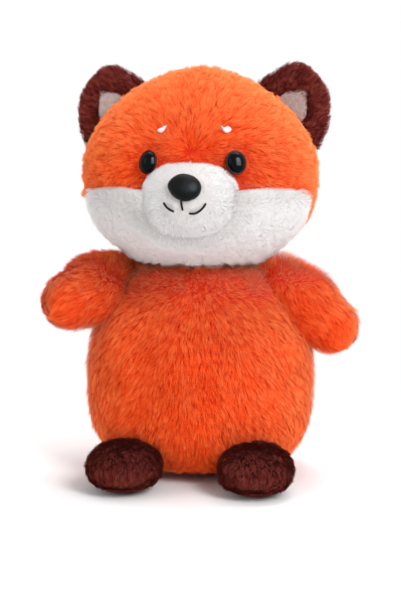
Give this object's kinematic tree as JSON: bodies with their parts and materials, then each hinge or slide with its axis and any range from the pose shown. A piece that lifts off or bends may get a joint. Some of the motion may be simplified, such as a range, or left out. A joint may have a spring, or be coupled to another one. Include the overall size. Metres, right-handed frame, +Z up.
{
  "type": "plush fox",
  "caption": "Sitting plush fox with white cheeks and snout, brown ears and feet, stub arms and a brush tail, weighted in its base so that it rests upright.",
  "frame": {"origin": "middle of the flat base that the fox sits on", "axes": "+Z up, the fox looks along -Y, and its left is +X"},
  "size_m": [0.1647, 0.1607, 0.2154],
  "materials": {
    "orange_plush": "long soft pile",
    "brown_plush": "short soft pile",
    "white_plush": "long soft pile",
    "ear_lining": "brushed",
    "eye_gloss": "gloss",
    "nose_satin": "satin",
    "polyester_fibre": "matte",
    "pellet_bag_cloth": "matte",
    "washer_plastic": "matte"
  },
  "bodies": {
    "torso": {"torso_front_panel": "orange_plush", "torso_back_panel_left": "orange_plush", "torso_back_panel_right": "orange_plush", "torso_base_panel": "orange_plush", "torso_filling": "polyester_fibre", "pellet_bag": "pellet_bag_cloth"},
    "neck": {"neck_wad": "orange_plush"},
    "head": {"face_panel": "white_plush", "crown_panel": "orange_plush", "cheek_gusset_left": "orange_plush", "cheek_gusset_right": "orange_plush", "head_back_panel": "orange_plush", "head_filling": "polyester_fibre", "muzzle_panel": "white_plush", "muzzle_filling": "polyester_fibre", "nose": "nose_satin", "eye_left": "eye_gloss", "eye_right": "eye_gloss", "eye_washer_left": "washer_plastic", "eye_washer_right": "washer_plastic", "brow_left": "white_plush", "brow_right": "white_plush"},
    "left_ear": {"ear_cover_left": "brown_plush", "ear_filling_left": "polyester_fibre", "ear_lining_left": "ear_lining"},
    "right_ear": {"ear_cover_right": "brown_plush", "ear_filling_right": "polyester_fibre", "ear_lining_right": "ear_lining"},
    "left_arm": {"arm_cover_left": "orange_plush", "arm_filling_left": "polyester_fibre"},
    "right_arm": {"arm_cover_right": "orange_plush", "arm_filling_right": "polyester_fibre"},
    "left_foot": {"foot_upper_left": "brown_plush", "foot_sole_left": "brown_plush", "foot_filling_left": "polyester_fibre"},
    "right_foot": {"foot_upper_right": "brown_plush", "foot_sole_right": "brown_plush", "foot_filling_right": "polyester_fibre"},
    "tail": {"tail_cover": "orange_plush", "tail_tip": "white_plush", "tail_filling": "polyester_fibre"}
  },
  "joints": [
    {"name": "head_turn", "type": "hinge", "parent": "torso", "child": "neck", "pos_m": [0, 0, 0.10865], "axis": [0, 0, 1], "range_deg": [-25, 25], "stiffness_Nm_per_rad": 0.25},
    {"name": "head_nod", "type": "hinge", "parent": "neck", "child": "head", "pos_m": [0, 0, 0.10865], "axis": [1, 0, 0], "range_deg": [-6, 6], "stiffness_Nm_per_rad": 0.8},
    {"name": "left_ear_bend", "type": "hinge", "parent": "head", "child": "left_ear", "pos_m": [0.04418, 0.00593, 0.18675], "axis": [0.6549, 0.088, -0.7506], "range_deg": [-10, 10], "stiffness_Nm_per_rad": 0.03},
    {"name": "right_ear_bend", "type": "hinge", "parent": "head", "child": "right_ear", "pos_m": [-0.04418, 0.00593, 0.18675], "axis": [-0.6549, 0.088, -0.7506], "range_deg": [-10, 10], "stiffness_Nm_per_rad": 0.03},
    {"name": "left_arm_lift", "type": "hinge", "parent": "torso", "child": "left_arm", "pos_m": [0.04226, -0.00229, 0.09982], "axis": [-0.0698, -0.9976, 0], "range_deg": [0, 45], "stiffness_Nm_per_rad": 0.06},
    {"name": "right_arm_lift", "type": "hinge", "parent": "torso", "child": "right_arm", "pos_m": [-0.04226, -0.00229, 0.09982], "axis": [-0.7314, 0.682, 0], "range_deg": [0, 20], "stiffness_Nm_per_rad": 0.06},
    {"name": "left_foot_bend", "type": "hinge", "parent": "torso", "child": "left_foot", "pos_m": [0.02859, -0.04542, 0.0262], "axis": [-1, 0, 0], "range_deg": [0, 12], "stiffness_Nm_per_rad": 0.1},
    {"name": "right_foot_bend", "type": "hinge", "parent": "torso", "child": "right_foot", "pos_m": [-0.02859, -0.04542, 0.0262], "axis": [-1, 0, 0], "range_deg": [0, 12], "stiffness_Nm_per_rad": 0.1},
    {"name": "tail_droop", "type": "hinge", "parent": "torso", "child": "tail", "pos_m": [0, 0.05164, 0.02988], "axis": [-1, 0, 0], "range_deg": [0, 28], "stiffness_Nm_per_rad": 0.04}
  ]
}
